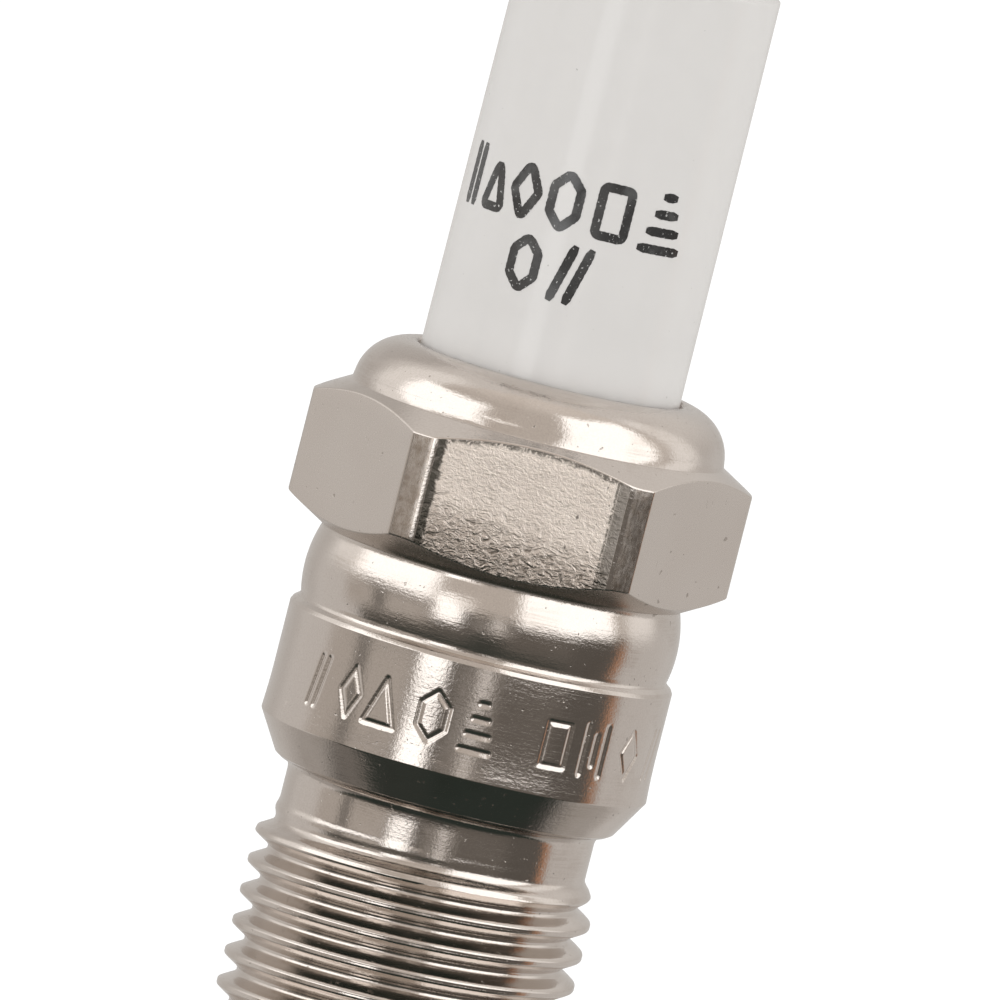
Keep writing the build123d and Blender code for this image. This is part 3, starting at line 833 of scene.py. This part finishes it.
def build_insulator():
    """The ceramic, from its nose up over the ribs and down through its stepped bore."""
    groove_r = CERAMIC_TOP_R - RIB_GROOVE_DEPTH + RIB_GROOVE_R
    ribs = []
    for rib in range(RIB_COUNT):
        z = RIB_FIRST_Z + rib * RIB_PITCH
        r = barrel_radius(z)
        half = math.degrees(math.acos((groove_r - r) / RIB_GROOVE_R))
        groove = arc((groove_r, z), RIB_GROOVE_R, 180 + half, 180 - half, 8)
        low, high = [(r, z + side * RIB_PITCH / 2) for side in (-1, 1)]
        ribs += rounded([low] + groove + [high], [0.12] + [0] * 7 + [0.12], steps=3)[:-1]
    top_round = (CERAMIC_TOP_R - CERAMIC_TOP_ROUND, CERAMIC_TOP_Z - CERAMIC_TOP_ROUND)
    outer = [(WIRE_BORE_R, NOSE_END_Z)] + arc((2.0, NOSE_END_Z + 0.3), 0.3, 270, 360, 5)
    seat = [outer[-1], (3.3, -11.645), (NOSE_R, -11.21), (NOSE_R, 1.55)]
    outer += rounded(seat, [0.15, 0.15], steps=3)[1:]
    outer += [(FLANGE_R, 3.2), (FLANGE_R, 11.4), (CERAMIC_R, 12.0), (CERAMIC_R, 15.2)]
    outer += [(barrel_radius(z), z) for z in (16.0, 20.0, 24.0, 28.0)] + ribs
    outer += arc(top_round, CERAMIC_TOP_ROUND, 0, 90, 10)
    outer += [(STEM_BORE_R, CERAMIC_TOP_Z), (STEM_BORE_R, -9.0), (WIRE_BORE_R, -9.4)]
    glaze = glazed_alumina("glazed_alumina")
    obj = lathe("insulator_body", spaced(outer, 3.0), 180, glaze, closed=True, sharp=40)
    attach(obj, BODY)
    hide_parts("insulator")


PRINT_STROKE = 0.37
PRINT_LIFT = 0.004
PRINT_THICKNESS = 0.008
PRINT_RAGGED = 0.012
PRINT_STEP = 0.09
PRINT_TURN = 0.22
# Rows of printed signs: z of the row's middle, height, then each sign's angle, width and strokes
PRINT_UPPER_ROW = (
    (-66.3, 0.5, POSTS),
    (-49.9, 1.0, TRIANGLE),
    (-32.8, 1.15, DIAMOND),
    (-14.0, 1.1, HEXAGON),
    (7.7, 1.15, SQUARE),
    (31.9, 1.65, STEPS),
)
PRINT_LOWER_ROW = ((-25.5, 1.05, HEXAGON), (-4.1, 1.2, SLASHES))
PRINT_ROWS = ((23.36, 2.2, PRINT_UPPER_ROW), (20.6, 2.05, PRINT_LOWER_ROW))


def stroke_edges(line, closed, width, height, seed):
    """The two edges of a printed stroke in millimetres, slightly ragged, as complex numbers."""
    path = [((x - 0.5) * width, (y - 0.5) * height) for x, y in line]
    if closed:
        start = tuple(np.add(path[0], path[1]) / 2)
        path = rounded([start] + path[1:] + [start], [PRINT_TURN] * (len(path) - 1), steps=5)
    path = np.array([complex(*point) for point in spaced(path, PRINT_STEP)])
    if closed:
        path = path[:-1]
    ahead = np.roll(path, -1) - np.roll(path, 1) if closed else np.gradient(path)
    ahead /= np.abs(ahead)
    run = np.append(0, np.cumsum(np.abs(np.diff(path))))
    half = PRINT_STROKE / 2
    wide = np.full(len(path), half)
    if not closed:
        # An open stroke reaches a little further, with narrower ends
        path[0] -= ahead[0] * half * 0.8
        path[-1] += ahead[-1] * half * 0.8
        wide[0] = wide[-1] = half * 0.6
    edges = []
    for way, turn in ((1j, 0.0), (-1j, 2.0)):
        ragged = PRINT_RAGGED * (np.sin(run * 31 + seed + turn) + np.sin(run * 53 + 2 * seed - turn)) / 2
        edges.append(path + way * ahead * (wide + ragged))
    return edges


def build_print():
    """Flat printed strokes on the insulator, each a thin closed ribbon."""
    verts, faces = [], []
    strokes = [(z, h, sign, line) for z, h, signs in PRINT_ROWS for sign in signs for line in sign[2]]
    for row_z, height, (middle, width, _), line in strokes:
        closed = line[0] == line[-1]
        edges = stroke_edges(line, closed, width, height, middle)
        first, count = len(verts), len(edges[0])
        for across in zip(*edges):
            for point in across:
                z = row_z + point.imag
                r = barrel_radius(z) + PRINT_LIFT
                angle = middle + math.degrees(point.real / r)
                verts += [polar(r, angle, z), polar(r + PRINT_THICKNESS, angle, z)]
        for i in range(count if closed else count - 1):
            a, b = first + 4 * i, first + 4 * ((i + 1) % count)
            faces += [(a + c, a + d, b + d, b + c) for c, d in ((1, 3), (3, 2), (2, 0), (0, 1))]
        if not closed:
            last = first + 4 * (count - 1)
            faces += [(first, first + 1, first + 3, first + 2), (last, last + 2, last + 3, last + 1)]
    obj = mesh_object("printed_signs", verts, faces, [printed_ink("printed_ink")], smooth=False)
    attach(obj, BODY)


# ---- terminal
def build_terminal_stud():
    """Zinc-plated stud: grooved foot, stem, flange and M4 thread."""
    skin = Skin()
    angles = even_angles(48)
    foot = [(0.4, STUD_FOOT_Z), (STUD_FOOT_R - 0.1, STUD_FOOT_Z), (STUD_FOOT_R, STUD_FOOT_Z + 0.1)]
    for ring in range(1, 5):
        z = STUD_FOOT_Z + 0.5 * ring
        groove = ((0, -0.13), (0.12, -0.04), (0.12, 0.04), (0, 0.13))
        foot += [(STUD_FOOT_R - depth, z + up) for depth, up in groove]
    flange_z = CERAMIC_TOP_Z + 0.01
    stem = [(STUD_FOOT_R, 9.35), (STUD_STEM_R, 9.55), (STUD_STEM_R, flange_z)]
    stem += [(STUD_FLANGE_R, flange_z), (STUD_FLANGE_R, STUD_FLANGE_Z)]
    stem += [(STUD_ROOT_R + 0.1, STUD_FLANGE_Z), (STUD_ROOT_R, STUD_FLANGE_Z + 0.1)]
    stem = rounded(stem + [(STUD_ROOT_R, STUD_NECK_Z)], [0, 0, 0.12, 0.12, 0, 0])
    first = skin.ring(angles, *foot[0])
    last = skin.turned(angles, foot[1:] + stem, first)
    skin.cap(first[::-1])
    shape = Thread(STUD_THREAD_R, STUD_ROOT_R, STUD_PITCH, STUD_CREST_Z, 0.045, 0.03, 0.04)

    def trim(radius, z):
        """Tapers the thread's first turn, and chamfers its top."""
        start = STUD_ROOT_R + 1.4 * max(0.0, z - STUD_NECK_Z)
        return min(radius, start, STUD_ROOT_R + max(0.0, STUD_TOP_Z - z))

    low_ring, high_ring = skin.thread(shape, STUD_NECK_Z, STUD_TOP_Z - 0.06, trim, 48)
    skin.join(last, low_ring)
    skin.cap(skin.turned(angles, [(STUD_ROOT_R - 0.06, STUD_TOP_Z), (0.5, STUD_TOP_Z)], high_ring))
    zinc = plain_metal("zinc_plate", (0.66, 0.66, 0.65), 0.24, 0.5)
    obj = skin.finish("terminal_stud_body", [zinc], 50)
    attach(obj, BODY)
    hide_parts("terminal_stud")


def build_terminal_nut():
    """Nickel-plated nut with a base, a waist for the cap's spring clip, and a head."""
    mouth = (2.3, NUT_LOW_Z)
    outline = [mouth, (NUT_BASE_R, NUT_LOW_Z), (NUT_BASE_R, 46.5), (3.15, 46.5)]
    outline += [(NUT_WAIST_R, 47.2), (NUT_WAIST_R, 48.3), (3.025, 48.8), (NUT_HEAD_R, 48.95)]
    outline += [(NUT_HEAD_R, 52.25), (3.0, 52.78), (2.425, NUT_TOP_Z), (2.3, NUT_TOP_Z)]
    outline += [(NUT_BORE_R, NUT_TOP_Z - 0.25), (NUT_BORE_R, NUT_LOW_Z + 0.25), mouth]
    radii = [0.15, 0.12, 0, 0.3, 0.25, 0.1, 0.12, 0.5, 0.6, 0, 0.08, 0.08, 0.08]
    outline = rounded(outline, radii, steps=5)
    nickel = turned_nickel("nickel_terminal", lines=1.6, marks=0.6)
    obj = lathe("terminal_nut_body", outline[:-1], 120, nickel, closed=True)
    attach(obj, NUT_BODY)
    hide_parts("terminal_nut")


# ---- firing end
def build_centre_electrode():
    """Nickel-alloy jacket, hollow for its copper core, with a pocket for the tip."""
    pocket_r, pocket_z = TIP_R + 0.01, ELECTRODE_END_Z + 0.51
    outline = [(0, pocket_z), (pocket_r, pocket_z), (pocket_r, ELECTRODE_END_Z), (0.55, ELECTRODE_END_Z)]
    outline += [(ELECTRODE_R, -26.9), (ELECTRODE_R, -9.38), (ELECTRODE_HEAD_R, -8.98)]
    outline += [(ELECTRODE_HEAD_R, -8.2), (1.4, -8.2), (1.4, -6.6)]
    outline += [(CORE_R, -6.6), (CORE_R, CORE_END_Z), (0, CORE_END_Z)]
    outline = rounded(outline, [0, 0, 0.08, 0.25, 0, 0.1, 0.08, 0, 0.1, 0.05, 0])
    alloy = plain_metal("nickel_alloy", (0.56, 0.53, 0.49), 0.28, 0.7)
    obj = lathe("centre_electrode_body", outline, 72, alloy)
    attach(obj, BODY)
    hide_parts("centre_electrode")


def weld_bead(name, profile, columns, inner_r, waves, material):
    """A small laser weld, with melted-looking waves round its part beyond inner_r."""
    metal = plain_metal(material, WELD_COLOUR, 0.32, 1.5)
    obj = lathe(name, profile, columns, metal, closed=True, sharp=45)
    for v in obj.data.vertices:
        x, y = v.co.x / MM, v.co.y / MM
        r = math.hypot(x, y)
        if r > inner_r:
            angle = math.atan2(y, x)
            grow = 0.6 * math.sin(waves * angle) + 0.4 * math.sin((waves // 2 + 2) * angle + 1)
            v.co.x += MM * WELD_RIPPLE * grow * x / r
            v.co.y += MM * WELD_RIPPLE * grow * y / r
    obj.data.update()
    return obj


def build_iridium_tip():
    """Iridium wire with softly rounded edges, and the laser weld at its root."""
    wire = [(0, TIP_END_Z), (TIP_R, TIP_END_Z), (TIP_R, -27.3), (0, -27.3)]
    iridium = plain_metal("iridium", (0.80, 0.79, 0.77), 0.16, 0.3)
    tip = lathe("iridium_tip_body", rounded(wire, [0.03, 0.03], steps=3), 48, iridium)
    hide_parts("iridium_tip")
    root_z = ELECTRODE_END_Z + 0.03
    bead = arc((TIP_R, ELECTRODE_END_Z), 0.11, -80, 0, 6) + [(TIP_R + 0.11, root_z), (TIP_R, root_z)]
    weld = weld_bead("iridium_weld", bead, 72, TIP_R + 0.05, 14, "weld_metal")
    for piece in (tip, weld):
        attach(piece, BODY)


def strap_section(half_width, half_thickness, corner):
    """Rounded rectangle of the ground electrode's bar, as (across, through) pairs."""
    points = []
    for cx, cy, start in ((1, 1, 0), (-1, 1, 90), (-1, -1, 180), (1, -1, 270)):
        centre = (cx * (half_width - corner), cy * (half_thickness - corner))
        points += arc(centre, corner, start, start + 90, 4)
    return points


def strap_stations(centre_z):
    """The bar's middle line as (x, z, slope in degrees), with close stations at its free end."""
    bend_x, bend_z = STRAP_R - STRAP_BEND, centre_z + STRAP_BEND
    stations = [(STRAP_R, z, 0.0) for z in np.linspace(-REACH - 0.005, bend_z, 6)]
    bend = arc((bend_x, bend_z), STRAP_BEND, 0, -90, 18)
    stations += [(x, z, 5.0 * i) for i, (x, z) in enumerate(bend)][1:]
    stations += [(x, centre_z, 90.0) for x in np.linspace(bend_x, -STRAP_OVERHANG + 0.6, 8)[1:]]
    return stations + [(d - STRAP_OVERHANG, centre_z, 90.0) for d in (0.45, 0.3, 0.18, 0.08, 0.03, 0.0)]


def build_ground_electrode():
    """Bent nickel-alloy bar: straight down from the shell, then in under the tip."""
    verts, faces = [], []
    inner_z = TIP_END_Z - SPARK_GAP - PAD_PROUD
    stations = strap_stations(inner_z - STRAP_THICKNESS / 2)
    for x, z, slope in stations:
        # The free end has clipped corners and a rounded edge
        from_end = x + STRAP_OVERHANG
        half_width = STRAP_WIDTH / 2 - max(STRAP_CORNER - from_end, 0.0)
        short = max(STRAP_EDGE - from_end, 0.0)
        pinch = STRAP_EDGE - math.sqrt(max(STRAP_EDGE ** 2 - short ** 2, 0.0))
        out_x, out_z = math.cos(math.radians(slope)), -math.sin(math.radians(slope))
        for across, through in strap_section(half_width - pinch, STRAP_THICKNESS / 2 - pinch, STRAP_EDGE):
            verts.append((x + out_x * through, across, z + out_z * through))
    size = len(verts) // len(stations)
    for start in range(0, len(verts) - size, size):
        for k in range(size):
            a, b = start + k, start + (k + 1) % size
            faces.append((a, b, b + size, a + size))
    faces += [tuple(range(size)), tuple(range(len(verts) - size, len(verts)))]
    alloy = plain_metal("nickel_alloy_bar", (0.55, 0.52, 0.48), 0.30, 0.9)
    obj = mesh_object("ground_electrode_body", verts, faces, [alloy], sharp=50)
    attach(obj, BODY)
    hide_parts("ground_electrode")

    pad_low, pad_high = inner_z - 0.25, inner_z + PAD_PROUD
    disc = [(0, pad_low), (PAD_R, pad_low), (PAD_R, pad_high), (0, pad_high)]
    platinum = plain_metal("platinum", (0.78, 0.76, 0.72), 0.18, 0.3)
    pad = lathe("platinum_pad_body", rounded(disc, [0.03, 0.05], steps=3), 60, platinum)
    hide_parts("platinum_pad")
    root_z = inner_z - 0.02
    bead = [(PAD_R, root_z), (PAD_R + 0.09, root_z)] + arc((PAD_R, inner_z), 0.09, 0, 90, 5)
    weld = weld_bead("platinum_weld", bead, 60, PAD_R + 0.04, 16, "weld_metal_bar")
    for piece in (pad, weld):
        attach(piece, BODY)


# ---- CAD pieces
def dress_cad_nodes():
    """Materials for the sealed inner pieces, which keep their CAD shape."""
    steel = plain_metal("mild_steel", (0.50, 0.49, 0.47), 0.35, 0.8)
    copper = plain_metal("copper", (0.80, 0.46, 0.32), 0.25, 0.6)
    glass = mineral("conductive_glass", (0.16, 0.13, 0.11), 0.5)
    chosen = {
        "insulator_seat_washer": steel,
        "lower_packing_ring": steel,
        "upper_packing_ring": steel,
        "talc_packing": mineral("pressed_talc", (0.78, 0.76, 0.71), 0.85),
        "upper_glass_seal": glass,
        "lower_glass_seal": glass,
        "resistor": mineral("resistor_rod", (0.07, 0.07, 0.07), 0.6),
        "centre_electrode_copper_core": copper,
        "ground_electrode_copper_core": copper,
    }
    for name, material in chosen.items():
        nodes[name].data.materials.clear()
        nodes[name].data.materials.append(material)


# ---- stage
CAMERA_DISTANCE = 1000.0
CAMERA_AZIMUTH = -1.8
CAMERA_ELEVATION = 5.85
CAMERA_ROLL = 14.25
VIEW_CENTRE_Z = 10.84
VIEW_CENTRE_LEFT = 0.70
VIEW_WIDTH = 39.29
FLOOR_R = 30000.0
FLOOR_BELOW = 0.02


def build_camera():
    """The photograph's view: from far away with a long lens, tilted a little and rolled."""
    a, e = math.radians(CAMERA_AZIMUTH), math.radians(CAMERA_ELEVATION)
    back = Vector((math.sin(a) * math.cos(e), -math.cos(a) * math.cos(e), math.sin(e)))
    right = Vector((math.cos(a), math.sin(a), 0))
    target = Vector((0, 0, VIEW_CENTRE_Z)) - right * VIEW_CENTRE_LEFT
    data = bpy.data.cameras.new("camera")
    data.sensor_width = 36.0
    data.lens = data.sensor_width * CAMERA_DISTANCE / VIEW_WIDTH
    data.clip_start = 0.01
    data.clip_end = 100.0
    camera = bpy.data.objects.new("camera", data)
    bpy.context.scene.collection.objects.link(camera)
    camera.location = (target + back * CAMERA_DISTANCE) * MM
    look = (-back).to_track_quat("-Z", "Y").to_matrix().to_4x4()
    roll = Matrix.Rotation(math.radians(CAMERA_ROLL), 4, Vector((0, 0, 1)))
    camera.rotation_mode = "QUATERNION"
    camera.rotation_quaternion = (look @ roll).to_quaternion()
    bpy.context.scene.camera = camera


def grey(level, warmth=0.0):
    """A grey of one level, warmer by a share of it."""
    return (level, level * (1 - 0.5 * warmth), level * (1 - warmth), 1)


def build_world():
    """Studio light. Gloss sees soft boxes and dark cloths, the rest an even white tent."""
    world = bpy.data.worlds.new("studio")
    bpy.context.scene.world = world
    tree = Nodes(world)
    x, y, z = tree.split(tree.add("ShaderNodeTexCoord")["Generated"])
    to_degrees = 180 / math.pi
    azimuth = tree.times(tree.math("ARCTAN2", x, tree.times(y, -1.0)), to_degrees)
    elevation = tree.times(tree.math("ARCSINE", z), to_degrees)
    from_front = tree.math("ABSOLUTE", tree.minus(azimuth, 2.5))

    def box(az_low, az_high, el_low, el_high, az_soft, el_soft):
        """One inside a range of azimuth and elevation in degrees, with soft edges."""
        across = tree.band(azimuth, az_low, az_high, az_soft)
        return tree.times(across, tree.band(elevation, el_low, el_high, el_soft))

    def layered(colour, *layers):
        """A colour, covered in turn by the other colours where their masks are one."""
        for mask, level in layers:
            colour = tree.mix(mask, colour, level)
        return colour

    # The tent at the sides and behind: dim below, brighter above
    tent = layered(
        grey(0.05, 0.1),
        (tree.ramp(elevation, -56, -42), grey(0.46, 0.1)),
        (tree.ramp(elevation, -36, -24), grey(0.60, 0.08)),
        (box(-136, -93, -30, 10, 8, 6), grey(0.70, 0.06)),
        (box(93, 150, -30, 10, 8, 6), grey(0.665, 0.06)),
        (tree.ramp(elevation, 5, 40), grey(0.80, 0.06)),
        (box(-190, -140, 15, 48, 8, 6), grey(0.58, 0.08)),
        (box(-126, 118, 4, 62, 8, 6), grey(1.05, 0.04)),
    )
    # The dark front, where the camera stands
    front = layered(
        (0.034, 0.044, 0.038, 1),
        (tree.ramp(elevation, -36, -12), grey(0.17, 0.18)),
        (tree.ramp(elevation, 1, 8), grey(0.66, 0.14)),
        (tree.ramp(elevation, 48, 76), grey(0.84, 0.12)),
    )
    studio = layered(
        tree.mix(tree.ramp(from_front, 83, 96), front, tent),
        # Dim cloths to the left, in front and to the right
        (box(-100, -37, -15, 1, 5, 4), grey(0.55, 0.14)),
        (box(-77, -68, -15, 1, 3, 4), grey(0.24, 0.14)),
        (box(-78, -20, -72, -50, 10, 5), (0.042, 0.049, 0.043, 1)),
        (box(-106, -83, -66, -44, 8, 5), grey(0.22, 0.14)),
        (box(-9, 15, -9, -2, 3, 3), grey(0.37, 0.12)),
        (box(-10, 10, -38, -13, 8, 4), (0.066, 0.070, 0.062, 1)),
        (box(54, 86, -34, 2, 7, 4), grey(0.13, 0.18)),
        # Soft boxes at both sides, and narrow ones beside the camera
        (box(-98, -38, 5.5, 40, 5, 3), grey(1.78)),
        (box(17, 60, 2.5, 62, 3, 3), grey(1.78)),
        (box(56, 81, 5, 62, 3, 4), grey(1.78)),
        (box(-35, -17.5, -8.5, 14, 1.5, 1.5), grey(1.9)),
        (box(-24, -12, 5, 14, 4, 3), grey(1.2, 0.06)),
        (box(1.8, 9.0, -8.5, 3, 1.5, 2), grey(0.9, 0.06)),
        # A thin orange edge to the right
        (box(87, 92.5, -22, 1, 1.5, 4), (0.50, 0.26, 0.15, 1)),
    )

    path = tree.add("ShaderNodeLightPath")
    soft = tree.mix(tree.ramp(elevation, -10, 60), grey(0.82), grey(1.34))
    soft = tree.mix(tree.ramp(azimuth, -120, 120), tree.mix(0.06, soft, grey(0.0)), soft)
    seen = tree.mix(path["Is Glossy Ray"], soft, studio)
    seen = tree.mix(path["Is Camera Ray"], seen, (1, 1, 1, 1))
    background = tree.add("ShaderNodeBackground", (seen,))
    tree.add("ShaderNodeOutputWorld", (background[0],))


def build_floor():
    """A wide pale floor, just under the lowest point of the CAD."""
    tree = new_material("pale_floor")
    colour = tree.mix(tree.noise(0.01, 2), grey(0.92), grey(0.94))
    material = tree.surface(colour, 0.9, **{"Specular IOR Level": 0.1})
    floor_z = cad_low[2] / MM - FLOOR_BELOW
    rim = [polar(FLOOR_R, a, floor_z) for a in even_angles(64)]
    floor = mesh_object("floor", rim, [tuple(range(len(rim)))], [material], smooth=False)
    floor.visible_glossy = False


build_camera()
build_world()
build_floor()
build_shell()
build_insulator()
build_print()
build_terminal_stud()
build_terminal_nut()
build_centre_electrode()
build_iridium_tip()
build_ground_electrode()
dress_cad_nodes()
bpy.context.scene.view_settings.view_transform = "Standard"
